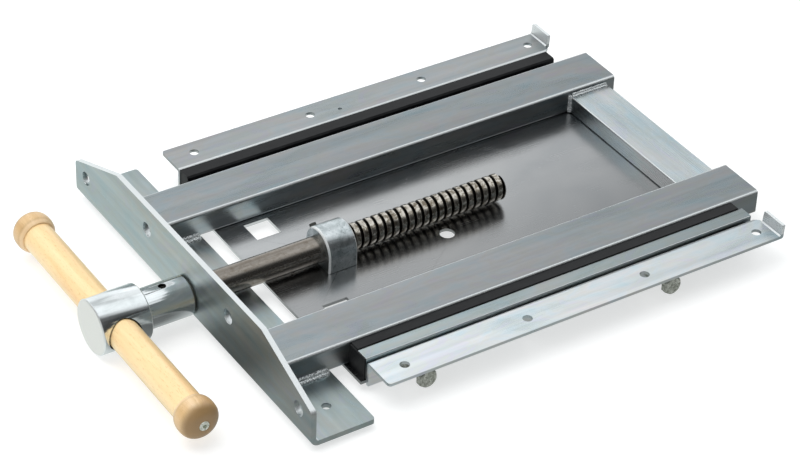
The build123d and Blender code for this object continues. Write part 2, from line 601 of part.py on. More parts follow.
def nodes():
    """Every node's name and shape."""
    front_bolt_y, rear_bolt_y = BOLT_YS
    yield "base_plate", base_plate()
    yield "left_mounting_rail", mounting_rail(-1)
    yield "right_mounting_rail", mounting_rail(1)
    yield "rail_weld_beads", rail_weld_beads()
    yield "left_slide_liner", left_slide_liner()
    yield "left_liner_screws", left_liner_screws()
    yield "spindle_nut", spindle_nut()
    yield "nut_screws", nut_screws()
    yield "nut_grease_screw", nut_grease_screw()
    yield "bolt_lock_nuts", bolt_lock_nuts()
    yield "adjusting_bar", adjusting_bar()
    yield "right_slide_liner", right_slide_liner()
    yield "adjusting_bolt_front", adjusting_bolt(front_bolt_y)
    yield "adjusting_bolt_rear", adjusting_bolt(rear_bolt_y)
    yield "front_plate", front_plate()
    yield "left_guide_tube", guide_tube(-1)
    yield "right_guide_tube", guide_tube(1)
    yield "rear_crossbar", rear_crossbar()
    yield "foot_weld_beads", foot_weld_beads()
    yield "crossbar_weld_beads", crossbar_weld_beads()
    yield "front_thrust_washer", front_thrust_washer()
    yield "rear_thrust_washer", rear_thrust_washer()
    yield "spindle_rod", spindle_rod()
    yield "retaining_ring", retaining_ring()
    yield "handle_hub", handle_hub()
    yield "hub_set_screw", hub_set_screw()
    yield "handle_bar", handle_bar()
    yield "handle_knob_left", handle_knob(-1)
    yield "handle_knob_right", handle_knob(1)
    yield "knob_screws", knob_screws()


os.makedirs("parts", exist_ok=True)
for name, shape in nodes():
    if isinstance(shape, list):
        shape = Compound(children=shape)
    export_step(shape, f"parts/{name}.step")
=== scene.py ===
import math
import random

import bmesh
import bpy
from mathutils import Matrix, Vector, noise


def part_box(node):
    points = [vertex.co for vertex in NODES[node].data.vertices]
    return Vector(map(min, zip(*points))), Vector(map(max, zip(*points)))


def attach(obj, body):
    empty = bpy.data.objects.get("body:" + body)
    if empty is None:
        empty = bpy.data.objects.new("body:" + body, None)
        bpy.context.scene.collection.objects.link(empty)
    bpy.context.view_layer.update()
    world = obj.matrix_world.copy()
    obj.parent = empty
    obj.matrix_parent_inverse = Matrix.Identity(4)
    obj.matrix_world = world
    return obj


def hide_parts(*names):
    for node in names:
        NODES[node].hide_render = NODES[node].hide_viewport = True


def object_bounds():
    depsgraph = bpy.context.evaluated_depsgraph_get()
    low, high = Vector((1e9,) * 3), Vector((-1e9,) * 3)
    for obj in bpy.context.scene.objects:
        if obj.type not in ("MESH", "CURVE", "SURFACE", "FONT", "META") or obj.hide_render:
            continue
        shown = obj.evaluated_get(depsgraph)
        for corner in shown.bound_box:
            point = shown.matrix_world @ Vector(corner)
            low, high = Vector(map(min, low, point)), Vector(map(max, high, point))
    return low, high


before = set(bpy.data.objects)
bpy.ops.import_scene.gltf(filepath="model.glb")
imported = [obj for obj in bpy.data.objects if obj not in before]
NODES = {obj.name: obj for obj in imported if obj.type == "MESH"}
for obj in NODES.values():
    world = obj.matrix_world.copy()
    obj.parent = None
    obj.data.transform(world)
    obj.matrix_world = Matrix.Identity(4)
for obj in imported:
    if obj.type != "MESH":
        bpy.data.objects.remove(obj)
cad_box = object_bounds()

MM = 0.001


# ---------------------------------------------------------------- node helpers

def set_range(made, low, high, to_low, to_high):
    """Sets the ends of a Map Range node."""
    ends = {"From Min": low, "From Max": high, "To Min": to_low, "To Max": to_high}
    for name, number in ends.items():
        made.inputs[name].default_value = number


def set_stops(made, stops):
    """Gives a colour ramp node its stops, as (place, colour)."""
    elements = made.color_ramp.elements
    while len(elements) < len(stops):
        elements.new(0.5)
    for element, (place, colour) in zip(elements, stops):
        element.position = place
        element.color = (*colour, 1.0)


def measured(tree, coords, operation, vector):
    """The dot product of the coordinates with a vector, or their distance from it."""
    made = tree.nodes.new("ShaderNodeVectorMath")
    made.operation = operation
    made.inputs[1].default_value = vector
    tree.links.new(coords, made.inputs[0])
    return made.outputs["Value"]


class Surface:
    """A procedural material being built: one Principled shader and short ways to add nodes."""

    def __init__(self, name, metallic=0.0, ior=1.5):
        self.material = bpy.data.materials.new(name)
        self.material.use_nodes = True
        self.tree = self.material.node_tree
        self.tree.nodes.clear()
        self.shader = self.node("ShaderNodeBsdfPrincipled")
        output = self.node("ShaderNodeOutputMaterial")
        self.link(self.shader.outputs["BSDF"], output.inputs["Surface"])
        self.shader.inputs["Metallic"].default_value = metallic
        self.shader.inputs["IOR"].default_value = ior
        self.object_coords = self.node("ShaderNodeTexCoord").outputs["Object"]

    def node(self, kind, **settings):
        made = self.tree.nodes.new(kind)
        for key, value in settings.items():
            setattr(made, key, value)
        return made

    def link(self, source, target):
        """Links an output to an input, or sets the input when the source is a plain value."""
        if isinstance(source, bpy.types.NodeSocket):
            self.tree.links.new(source, target)
        else:
            target.default_value = source

    def math(self, operation, a, b=0.0):
        made = self.node("ShaderNodeMath", operation=operation)
        for value, socket in zip((a, b), made.inputs):
            self.link(value, socket)
        return made.outputs[0]

    def stretched(self, scale):
        """Object coordinates multiplied by a scale per axis."""
        made = self.node("ShaderNodeVectorMath", operation="MULTIPLY")
        self.link(self.object_coords, made.inputs[0])
        made.inputs[1].default_value = scale
        return made.outputs[0]

    def moved(self, vector, offset):
        made = self.node("ShaderNodeVectorMath", operation="ADD")
        self.link(vector, made.inputs[0])
        made.inputs[1].default_value = offset
        return made.outputs[0]

    def axis(self, index, vector=None):
        made = self.node("ShaderNodeSeparateXYZ")
        self.link(vector or self.object_coords, made.inputs[0])
        return made.outputs[index]

    def noise(self, vector, scale, detail, roughness, distortion=0.0):
        made = self.node("ShaderNodeTexNoise")
        self.link(vector, made.inputs["Vector"])
        made.inputs["Scale"].default_value = scale
        made.inputs["Detail"].default_value = detail
        made.inputs["Roughness"].default_value = roughness
        made.inputs["Distortion"].default_value = distortion
        return made.outputs["Fac"]

    def cells(self, vector, scale):
        """The distance from the nearest of many scattered points."""
        made = self.node("ShaderNodeTexVoronoi", feature="F1")
        self.link(vector, made.inputs["Vector"])
        made.inputs["Scale"].default_value = scale
        return made.outputs["Distance"]

    def remap(self, value, low, high, to_low, to_high):
        made = self.node("ShaderNodeMapRange")
        self.link(value, made.inputs["Value"])
        set_range(made, low, high, to_low, to_high)
        return made.outputs["Result"]

    def ramp(self, value, stops):
        made = self.node("ShaderNodeValToRGB")
        self.link(value, made.inputs["Fac"])
        set_stops(made, stops)
        return made.outputs["Color"]

    def mix(self, factor, a, b, blend="MIX"):
        made = self.node("ShaderNodeMix", data_type="RGBA", blend_type=blend)
        self.link(factor, made.inputs["Factor"])
        for value, socket in ((a, made.inputs[6]), (b, made.inputs[7])):
            self.link((*value, 1.0) if isinstance(value, tuple) else value, socket)
        return made.outputs[2]

    def scaled(self, colour, factor):
        """A colour made lighter or darker by a factor."""
        made = self.node("ShaderNodeVectorMath", operation="SCALE")
        self.link(colour, made.inputs[0])
        self.link(factor, made.inputs["Scale"])
        return made.outputs[0]

    def facing(self, index):
        """The surface normal's part along one of the object's axes."""
        return self.axis(index, self.node("ShaderNodeTexCoord").outputs["Normal"])

    def slanting_edges(self):
        """1 on rounded upper edges, where a highlight is painted, and 0 on flat faces."""
        upward = self.facing(2)
        rising = self.remap(upward, 0.30, 0.60, 0.0, 1.0)
        return self.math("MULTIPLY", rising, self.remap(upward, 0.90, 0.985, 1.0, 0.0))

    def bump(self, height, distance, strength, onto=None):
        made = self.node("ShaderNodeBump")
        self.link(height, made.inputs["Height"])
        made.inputs["Distance"].default_value = distance
        made.inputs["Strength"].default_value = strength
        if onto is not None:
            self.link(onto, made.inputs["Normal"])
        return made.outputs["Normal"]

    def finish(self, colour, roughness, normal):
        self.link(colour, self.shader.inputs["Base Color"])
        self.link(roughness, self.shader.inputs["Roughness"])
        self.link(normal, self.shader.inputs["Normal"])
        return self.material


# ---------------------------------------------------------------- the object's sizes, from the frame

SPINDLE_LOW, SPINDLE_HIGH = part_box("spindle_rod")
AXIS_Z = (SPINDLE_LOW.z + SPINDLE_HIGH.z) / 2
SPINDLE_R = (SPINDLE_HIGH.z - SPINDLE_LOW.z) / 2
THREAD_DEPTH = 3.2 * MM
THREAD_PITCH = 8.0 * MM
THREAD_ROOT_R = SPINDLE_R - THREAD_DEPTH
NUT_LOW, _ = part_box("spindle_nut")
THREAD_START_Y = NUT_LOW.y + 3.5 * MM
HANDLE_LOW, HANDLE_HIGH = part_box("handle_bar")
HANDLE_CENTRE = (HANDLE_LOW + HANDLE_HIGH) / 2
SCREW_LOW, SCREW_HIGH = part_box("hub_set_screw")
SCREW_CENTRE = (SCREW_LOW + SCREW_HIGH) / 2
KNOB_LOW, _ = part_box("handle_knob_right")
HANDLE_HOLE_R = 15.6 * MM
SCREW_HOLE_R = 3.5 * MM
HUB_REACH = 26 * MM
RAIL_TAB_Y = 0.201


# ---------------------------------------------------------------- materials

AXES = {"x": 0, "y": 1, "z": 2}
# A painted shade on the plating changes evenly between these two places along the vise.
SHADE_FRONT_Y = -0.29
SHADE_REAR_Y = 0.22
WHITE = (1.0, 1.0, 1.0)


def grain_scale(axis, across, along):
    """A scale vector that draws a pattern out along one axis."""
    scale = [across, across, across]
    scale[AXES[axis]] = along
    return tuple(scale)


def zinc_sheet(name, axis, tint=WHITE, gloss=0.30, front=1.0, rear=1.0, bright=None, right_front=None):
    """Zinc-plated sheet: bluish grey, faint rainbow clouds, rolling lines along an axis, painted
    highlights on edges.

    A painted shade scales its colour from `front` to `rear`, upward faces and the tabs above the height
    `bright` get a pale painted highlight, and a face towards the user gets painted light to the right,
    up to the factor `right_front`.
    """
    s = Surface(name, metallic=1.0)
    clouds = s.noise(s.stretched(grain_scale(axis, 26.0, 7.0)), 1.0, 4.0, 0.6, 0.8)
    blots = s.moved(s.stretched(grain_scale(axis, 60.0, 26.0)), (3.1, 7.7, 1.3))
    patches = s.noise(blots, 1.0, 3.0, 0.55, 1.2)
    lines = s.noise(s.stretched(grain_scale(axis, 1500.0, 9.0)), 1.0, 2.0, 0.6)
    streaks = s.moved(s.stretched(grain_scale(axis, 110.0, 2.5)), (0.0, 0.0, 5.0))
    bands = s.noise(streaks, 1.0, 3.0, 0.6)
    scuffs = s.noise(s.moved(s.stretched((420.0, 420.0, 420.0)), (8.0, 2.0, 4.0)), 1.0, 4.0, 0.7)

    base = s.ramp(clouds, [
        (0.30, (0.40, 0.46, 0.49)),
        (0.48, (0.47, 0.52, 0.55)),
        (0.62, (0.52, 0.53, 0.55)),
        (0.78, (0.48, 0.50, 0.55)),
    ])
    rainbow = s.ramp(patches, [
        (0.30, (0.88, 0.98, 1.0)),
        (0.45, WHITE),
        (0.56, (1.0, 0.97, 0.90)),
        (0.66, (1.0, 0.93, 0.99)),
        (0.80, (0.93, 1.0, 0.97)),
    ])
    colour = s.mix(0.75, base, rainbow, "MULTIPLY")
    shade = s.ramp(bands, [(0.32, (0.86, 0.87, 0.88)), (0.52, WHITE), (0.70, (1.08, 1.08, 1.08))])
    colour = s.mix(0.8, colour, shade, "MULTIPLY")
    colour = s.mix(1.0, colour, tint, "MULTIPLY")
    # Painted shade: the colour is scaled from `front` at the front to `rear` at the rear of the vise.
    colour = s.scaled(colour, s.remap(s.axis(1), SHADE_FRONT_Y, SHADE_REAR_Y, front, rear))
    # Painted light: a face towards the user grows lighter to the right.
    if right_front is not None:
        towards_user = s.remap(s.facing(1), -0.9, -0.6, 1.0, 0.0)
        rightward = s.remap(s.axis(0), -0.07, 0.05, -0.25, right_front - 1.0)
        gain = s.math("MULTIPLY", towards_user, rightward)
        colour = s.scaled(colour, s.math("ADD", gain, 1.0))
    # Painted highlight: rounded upper edges, and upward faces and tabs above `bright`, turn pale and less
    # metallic.
    painted_highlight = s.slanting_edges()
    if bright is not None:
        above = s.remap(s.axis(2), bright - 0.5 * MM, bright, 0.0, 1.0)
        upward = s.remap(s.facing(2), 0.45, 0.7, 0.0, 1.0)
        on_tab = s.remap(s.axis(1), RAIL_TAB_Y, RAIL_TAB_Y + 1 * MM, 0.0, 1.0)
        pale = s.math("MULTIPLY", above, s.math("MAXIMUM", upward, on_tab))
        painted_highlight = s.math("MAXIMUM", painted_highlight, pale)
    colour = s.mix(painted_highlight, colour, (0.76, 0.79, 0.80))
    s.link(s.remap(painted_highlight, 0.0, 1.0, 1.0, 0.60), s.shader.inputs["Metallic"])

    cloudy = s.remap(clouds, 0.3, 0.7, gloss - 0.05, gloss + 0.07)
    roughness = s.math("ADD", cloudy, s.remap(lines, 0.3, 0.7, -0.04, 0.05))
    roughness = s.math("ADD", roughness, s.remap(scuffs, 0.55, 0.75, 0.0, 0.08))
    normal = s.bump(lines, 0.00002, 0.35)
    normal = s.bump(bands, 0.0006, 0.25, normal)
    normal = s.bump(scuffs, 0.00003, 0.4, normal)
    return s.finish(colour, roughness, normal)


def base_sheet():
    """The base plate: smoother and more neutral than the plated sheet, with faint rolling lines and a
    painted shade that darkens it to the rear and the right.
    """
    s = Surface("base_sheet", metallic=1.0)
    clouds = s.noise(s.stretched((9.0, 5.0, 9.0)), 1.0, 3.0, 0.5, 0.5)
    lines = s.noise(s.stretched((1200.0, 7.0, 1200.0)), 1.0, 2.0, 0.6)
    smears = s.noise(s.stretched((40.0, 14.0, 40.0)), 1.0, 4.0, 0.6, 0.6)
    colour = s.ramp(clouds, [
        (0.3, (0.32, 0.33, 0.34)),
        (0.5, (0.38, 0.385, 0.39)),
        (0.7, (0.43, 0.43, 0.43)),
    ])
    # Painted light and shade: lighter towards the front and the left, darker towards the rear and the
    # right.
    colour = s.scaled(colour, s.remap(s.axis(1), -0.21, 0.20, 1.26, 0.90))
    colour = s.scaled(colour, s.remap(s.axis(0), -0.06, 0.08, 1.25, 0.76))
    smeared = s.remap(smears, 0.35, 0.7, 0.20, 0.28)
    roughness = s.math("ADD", smeared, s.remap(lines, 0.3, 0.7, -0.02, 0.03))
    normal = s.bump(lines, 0.00001, 0.3)
    normal = s.bump(clouds, 0.001, 0.12, normal)
    return s.finish(colour, roughness, normal)


def weld_metal():
    """Shiny plated weld metal with spatter and dark pores."""
    s = Surface("weld_metal", metallic=0.75)
    lumps = s.noise(s.object_coords, 700.0, 4.0, 0.6)
    pores = s.cells(s.object_coords, 900.0)
    colour = s.ramp(lumps, [
        (0.33, (0.45, 0.48, 0.49)),
        (0.50, (0.78, 0.82, 0.83)),
        (0.66, (0.95, 0.97, 0.98)),
    ])
    dark = s.ramp(pores, [(0.04, (0.30, 0.30, 0.28)), (0.16, WHITE)])
    colour = s.mix(0.8, colour, dark, "MULTIPLY")
    normal = s.bump(lumps, 0.0009, 0.8)
    return s.finish(colour, s.remap(lumps, 0.3, 0.7, 0.40, 0.16), normal)


def black_plastic():
    """Near-black sliding plastic, slightly satin, with long extrusion lines."""
    s = Surface("black_plastic", ior=1.30)
    lines = s.noise(s.stretched((900.0, 10.0, 900.0)), 1.0, 2.0, 0.6)
    dust = s.noise(s.stretched((160.0, 60.0, 160.0)), 1.0, 4.0, 0.65)
    colour = s.ramp(dust, [(0.4, (0.006, 0.006, 0.007)), (0.7, (0.014, 0.015, 0.016))])
    roughness = s.remap(dust, 0.3, 0.7, 0.36, 0.52)
    return s.finish(colour, roughness, s.bump(lines, 0.00004, 0.4))


def distance_to_line(s, index, through):
    """Distance, in metres, from a line along one axis through a point."""
    offset = s.moved(s.object_coords, tuple(-v for v in through))
    first, second = (s.axis(i, offset) for i in range(3) if i != index)
    squares = [s.math("MULTIPLY", part, part) for part in (first, second)]
    return s.math("SQRT", s.math("ADD", *squares))


def oiled_steel():
    """Brownish oiled steel with faint long bands, and a thread with bright crests and grooves painted
    black as shade.
    """
    s = Surface("oiled_steel", metallic=1.0)
    drawn = s.noise(s.stretched((170.0, 2.2, 170.0)), 1.0, 3.0, 0.6)
    blotches = s.noise(s.stretched((330.0, 200.0, 330.0)), 1.0, 4.0, 0.65, 0.6)
    turned = s.noise(s.stretched((20.0, 2600.0, 20.0)), 1.0, 2.0, 0.5)
    steel = s.ramp(drawn, [
        (0.33, (0.25, 0.22, 0.19)),
        (0.48, (0.33, 0.30, 0.27)),
        (0.66, (0.42, 0.395, 0.365)),
    ])
    stain = s.ramp(blotches, [(0.36, (0.62, 0.57, 0.50)), (0.52, WHITE)])
    steel = s.mix(0.6, steel, stain, "MULTIPLY")
    worn_crest = s.ramp(blotches, [(0.41, (0.20, 0.17, 0.13)), (0.54, (0.62, 0.58, 0.52))])
    on_thread = s.remap(s.axis(1), THREAD_START_Y, THREAD_START_Y + THREAD_PITCH, 0.0, 1.0)
    steel = s.mix(on_thread, steel, worn_crest)
    radius = distance_to_line(s, 1, (0.0, 0.0, AXIS_Z))
    # Painted shade: the thread's grooves turn near black below the radius `dark_below`.
    dark_below = THREAD_ROOT_R + 0.60 * THREAD_DEPTH
    depth = s.remap(radius, dark_below, SPINDLE_R - 0.2 * MM, 0.0, 1.0)
    colour = s.mix(depth, (0.022, 0.019, 0.016), steel)
    blotchy = s.remap(blotches, 0.3, 0.7, 0.30, 0.18)
    roughness = s.math("ADD", blotchy, s.remap(depth, 0.0, 1.0, 0.20, 0.0))
    normal = s.bump(drawn, 0.0004, 0.10)
    normal = s.bump(turned, 0.00002, 0.3, normal)
    normal = s.bump(blotches, 0.00012, 0.35, normal)
    return s.finish(colour, roughness, normal)


def pitted_zinc():
    """A zinc-plated casting: bright, with pits, darker stains and a painted highlight on its sloping
    chamfers.
    """
    s = Surface("pitted_zinc", metallic=1.0)
    pits = s.cells(s.moved(s.object_coords, (0.3, 0.1, 0.2)), 420.0)
    grain = s.noise(s.object_coords, 900.0, 4.0, 0.65)
    stains = s.noise(s.object_coords, 110.0, 3.0, 0.6, 0.8)
    colour = s.ramp(stains, [
        (0.32, (0.38, 0.43, 0.44)),
        (0.5, (0.60, 0.65, 0.67)),
        (0.7, (0.78, 0.82, 0.84)),
    ])
    dark = s.ramp(pits, [(0.08, (0.14, 0.16, 0.18)), (0.20, WHITE)])
    colour = s.mix(0.8, colour, dark, "MULTIPLY")
    # Painted highlight: sloping chamfers, towards either end, turn near white and less metallic.
    endwards = s.math("ABSOLUTE", s.facing(1))
    sloping = s.remap(endwards, 0.20, 0.55, 0.0, 1.0)
    rim = s.math("MULTIPLY", sloping, s.remap(endwards, 0.85, 0.96, 1.0, 0.0))
    colour = s.mix(rim, colour, (0.93, 0.95, 0.95))
    s.link(s.remap(rim, 0.0, 1.0, 1.0, 0.55), s.shader.inputs["Metallic"])
    normal = s.bump(s.remap(pits, 0.0, 0.25, 0.0, 1.0), 0.00035, 0.7)
    normal = s.bump(grain, 0.00012, 0.5, normal)
    return s.finish(colour, s.remap(grain, 0.3, 0.7, 0.38, 0.26), normal)


def turned_zinc():
    """Plated turned steel: glossy round faces with fine rings, a matte flat end and painted shade in its
    holes.
    """
    s = Surface("turned_zinc", metallic=1.0)
    rings = s.noise(s.stretched((15.0, 3200.0, 15.0)), 1.0, 2.0, 0.5)
    film = s.noise(s.stretched((60.0, 40.0, 60.0)), 1.0, 3.0, 0.6, 0.6)
    flat = s.remap(s.math("ABSOLUTE", s.facing(1)), 0.55, 0.90, 0.0, 1.0)
    colour = s.ramp(film, [
        (0.32, (0.76, 0.80, 0.81)),
        (0.5, (0.86, 0.90, 0.91)),
        (0.68, (0.92, 0.95, 0.97)),
    ])
    colour = s.mix(flat, colour, (0.82, 0.83, 0.80))
    # Painted shade: the walls of the handle's hole and the set screw's hole turn near black.
    from_handle = distance_to_line(s, 0, HANDLE_CENTRE)
    handle_hole = s.remap(from_handle, HANDLE_HOLE_R, HANDLE_HOLE_R + 0.3 * MM, 1.0, 0.0)
    near_hub = s.remap(s.math("ABSOLUTE", s.axis(0)), HUB_REACH, HUB_REACH + 1 * MM, 1.0, 0.0)
    from_screw = distance_to_line(s, 2, SCREW_CENTRE)
    screw_hole = s.remap(from_screw, SCREW_HOLE_R, SCREW_HOLE_R + 0.2 * MM, 1.0, 0.0)
    holes = s.math("MAXIMUM", s.math("MULTIPLY", handle_hole, near_hub), screw_hole)
    colour = s.mix(holes, colour, (0.025, 0.024, 0.022))
    s.link(s.remap(flat, 0.0, 1.0, 1.0, 0.55), s.shader.inputs["Metallic"])
    filmy = s.remap(film, 0.3, 0.7, 0.13, 0.20)
    roughness = s.math("ADD", filmy, s.remap(flat, 0.0, 1.0, 0.0, 0.42))
    normal = s.bump(rings, 0.000015, 0.35)
    return s.finish(colour, roughness, normal)


def mottled_fastener(name, level):
    """Olive-grey passivated fasteners, mottled, and made darker or paler by a level."""
    s = Surface(name, metallic=0.6)
    mottle = s.noise(s.object_coords, 420.0, 4.0, 0.65, 0.8)
    fine = s.noise(s.object_coords, 2200.0, 3.0, 0.6)
    colour = s.ramp(mottle, [
        (0.34, (0.22, 0.23, 0.19)),
        (0.5, (0.48, 0.50, 0.44)),
        (0.66, (0.78, 0.79, 0.73)),
    ])
    colour = s.scaled(colour, level)
    return s.finish(colour, s.remap(mottle, 0.3, 0.7, 0.50, 0.32), s.bump(fine, 0.00006, 0.5))


def wood(name, pale, mid, deep, end_grain_and_shade, rim_x):
    """Lacquered beech turned along X, with short dark flecks, soft bands, and end grain whose darker
    colour is partly painted shade.

    From the middle out to `rim_x` it stays near its palest colour, a painted highlight on a knob's inner
    rim.
    """
    s = Surface(name)
    bands = s.noise(s.stretched((5.0, 70.0, 70.0)), 1.0, 3.0, 0.55, 0.5)
    fibre = s.noise(s.stretched((60.0, 1800.0, 1800.0)), 1.0, 3.0, 0.6)
    short_grain = s.moved(s.stretched((260.0, 1300.0, 1300.0)), (4.0, 9.0, 2.0))
    flecks = s.noise(short_grain, 1.0, 2.0, 0.5)
    colour = s.ramp(bands, [(0.32, deep), (0.5, mid), (0.68, pale)])
    grain = s.ramp(fibre, [(0.34, (0.88, 0.84, 0.78)), (0.55, WHITE)])
    colour = s.mix(0.40, colour, grain, "MULTIPLY")
    dashes = s.ramp(flecks, [(0.60, WHITE), (0.70, (0.72, 0.58, 0.44))])
    colour = s.mix(0.55, colour, dashes, "MULTIPLY")
    # End grain is darker, and on the knobs its colour is also painted shade on faces turned along X.
    end = s.remap(s.math("ABSOLUTE", s.facing(0)), 0.10, 0.75, 0.0, 1.0)
    outward = s.remap(s.math("ABSOLUTE", s.axis(0)), rim_x, rim_x + 2 * MM, 0.0, 1.0)
    colour = s.mix(s.math("MULTIPLY", end, outward), colour, end_grain_and_shade)
    # Painted highlight: from the middle out to `rim_x` the colour turns pale.
    colour = s.mix(s.remap(outward, 0.0, 1.0, 0.65, 0.0), colour, pale)
    s.shader.inputs["Coat Weight"].default_value = 0.55
    s.shader.inputs["Coat Roughness"].default_value = 0.16
    return s.finish(colour, s.remap(fibre, 0.3, 0.7, 0.36, 0.50), s.bump(fibre, 0.00006, 0.3))


# ---------------------------------------------------------------- mesh helpers

def new_piece(name, mesh_builder, material, body, slot, *replaced, smooth_angle):
    """Makes an object from a bmesh, gives it a material and lets it ride on a body."""
    mesh = bpy.data.meshes.new(name)
    mesh_builder.to_mesh(mesh)
    mesh_builder.free()
    piece = bpy.data.objects.new(name, mesh)
    bpy.context.scene.collection.objects.link(piece)
    for polygon in mesh.polygons:
        polygon.use_smooth = True
    mesh.set_sharp_from_angle(angle=math.radians(smooth_angle))
    mesh.materials.append(material)
    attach(piece, body)
    if replaced:
        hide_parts(*replaced)
    return piece


def weld_run(builder, start, end, out, up, leg, seed, pitch=2.1 * MM):
    """Adds a rippled fillet weld from start to end, in the corner between two directions."""
    spacing = 0.35 * MM
    around = 11
    end_share = 0.05
    sunk = 0.02 * MM
    start, end, out, up = (Vector(v) for v in (start, end, out, up))
    along = (end - start).normalized()
    length = (end - start).length
    steps = max(8, int(length / spacing))
    wander = random.Random(seed).uniform(-1, 1)
    rings = []
    for i in range(steps + 1):
        t = i / steps
        distance = t * length
        phase = distance / pitch + 0.25 * math.sin(distance / (4.7 * MM) + wander * 3)
        ripple = abs(math.sin(math.pi * phase)) ** 0.6
        lump = noise.noise(Vector((distance * 210 + seed * 7.3, seed, 0.0)))
        taper = min(1.0, t / end_share, (1 - t) / end_share) ** 0.5 if 0 < t < 1 else 0.0
        size = leg * min(0.98, 0.76 + 0.16 * ripple + 0.34 * lump) * (0.35 + 0.65 * taper)
        ring = []
        for j in range(around):
            u = j / (around - 1)
            angle = u * math.pi / 2
            belly = 0.68 + 0.30 * abs(math.cos(2 * angle)) + 0.05 * noise.noise(
                Vector((distance * 900, u * 5, seed * 1.7))
            )
            lag = -0.45 * pitch * math.sin(2 * angle) * taper
            spoke = out * math.cos(angle) + up * math.sin(angle)
            point = start + along * (distance + lag) + spoke * size * belly
            ring.append(builder.verts.new(point))
        ring.append(builder.verts.new(start + along * distance - (out + up) * sunk))
        rings.append(ring)
    count = around + 1
    for a, b in zip(rings, rings[1:]):
        for j in range(count):
            k = (j + 1) % count
            builder.faces.new((a[j], a[k], b[k], b[j]))
    builder.faces.new(list(reversed(rings[0])))
    builder.faces.new(rings[-1])


# ---------------------------------------------------------------- pieces

def spindle_piece(material):
    """The spindle: a plain shank, then a coarse thread with rounded crests.

    The thread comes out left-hand, although the CAD screw that it replaces is right-hand.
    """
    columns = 96
    shank_steps = 24
    front, rear = SPINDLE_LOW.y, SPINDLE_HIGH.y
    front_edge = 0.6 * MM
    chamfer = 2.0 * MM
    # One pitch of the profile as (share of the pitch, share of the depth).
    profile = [
        (0.00, 0.97), (0.03, 1.0), (0.28, 1.0), (0.53, 1.0), (0.58, 0.96), (0.60, 0.86),
        (0.66, 0.14), (0.68, 0.04), (0.71, 0.0), (0.79, 0.0), (0.87, 0.0), (0.90, 0.04), (0.92, 0.14),
        (0.98, 0.86),
    ]

    def radius_at(y, turn):
        """Radius at a place along the axis and a turn from 0 to 1 about it."""
        if y <= THREAD_START_Y:
            return SPINDLE_R
        share = ((y - THREAD_START_Y) / THREAD_PITCH + turn) % 1.0
        points = profile + [(1.0, profile[0][1])]
        height = points[-1][1]
        for (s0, h0), (s1, h1) in zip(points, points[1:]):
            if s0 <= share <= s1:
                height = h0 + (h1 - h0) * (share - s0) / (s1 - s0)
                break
        radius = THREAD_ROOT_R + THREAD_DEPTH * height
        run_in = min(1.0, (y - THREAD_START_Y) / (0.5 * THREAD_PITCH))
        radius = SPINDLE_R + (radius - SPINDLE_R) * run_in
        return min(radius, SPINDLE_R - max(0.0, chamfer - (rear - y)))

    builder = bmesh.new()
    turns = int((rear - THREAD_START_Y) / THREAD_PITCH) + 3
    grid = []
    for j in range(columns):
        turn = j / columns
        angle = 2 * math.pi * turn
        ys = [front, front + front_edge]
        ys += [front + (THREAD_START_Y - front) * i / shank_steps for i in range(1, shank_steps)]
        ys += [
            min(rear, max(THREAD_START_Y, THREAD_START_Y + (k + share - turn) * THREAD_PITCH))
            for k in range(turns) for share, _ in profile
        ]
        column = []
        for i, y in enumerate(ys):
            radius = radius_at(y, turn) - (front_edge if i == 0 else 0.0)
            column.append(builder.verts.new(
                (radius * math.sin(angle), y, AXIS_Z + radius * math.cos(angle))
            ))
        grid.append(column)
    plain = shank_steps + 1
    shift = len(profile)
    for j in range(columns):
        a = grid[j]
        b = grid[(j + 1) % columns]
        wraps = j == columns - 1
        for i in range(plain - 1):
            builder.faces.new((a[i], a[i + 1], b[i + 1], b[i]))
        for i in range(plain - 1, len(a) - 1):
            if not wraps:
                builder.faces.new((a[i], a[i + 1], b[i + 1], b[i]))
                continue
            # After a whole turn the next column's samples lie one pitch further along.
            low, high = (max(plain - 1, n - shift) for n in (i, i + 1))
            quad = [a[i], a[i + 1], b[high], b[low]]
            builder.faces.new([v for n, v in enumerate(quad) if v not in quad[:n]])
    bmesh.ops.remove_doubles(builder, verts=builder.verts, dist=2e-6)
    bmesh.ops.dissolve_degenerate(builder, edges=builder.edges, dist=1e-6)
    open_edges = [edge for edge in builder.edges if edge.is_boundary]
    for y in (front, rear):
        rim = [edge for edge in open_edges if all(abs(v.co.y - y) < 2e-6 for v in edge.verts)]
        bmesh.ops.edgeloop_fill(builder, edges=rim)
    bmesh.ops.recalc_face_normals(builder, faces=builder.faces)
    return new_piece(
        "spindle_screw", builder, material, "spindle", "oiled_steel", "spindle_rod", smooth_angle=35.0
    )


def foot_weld_pieces(material):
    """Rippled welds between each guide tube and the front plate's foot."""
    low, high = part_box("foot_weld_beads")
    for side, node in ((-1, "left_guide_tube"), (1, "right_guide_tube")):
        tube_low, tube_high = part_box(node)
        builder = bmesh.new()
        for n, (x, direction) in enumerate(((tube_low.x, -1), (tube_high.x, 1))):
            weld_run(
                builder, (x, low.y, tube_low.z), (x, high.y, tube_low.z),
                (direction, 0, 0), (0, 0, 1), 5.6 * MM, 3 + n + 5 * side, pitch=3.1 * MM,
            )
        bmesh.ops.recalc_face_normals(builder, faces=builder.faces)
        name = "foot_weld_left" if side < 0 else "foot_weld_right"
        replaced = ("foot_weld_beads",) if side < 0 else ()
        new_piece(name, builder, material, "carriage", "weld_metal", *replaced, smooth_angle=60.0)


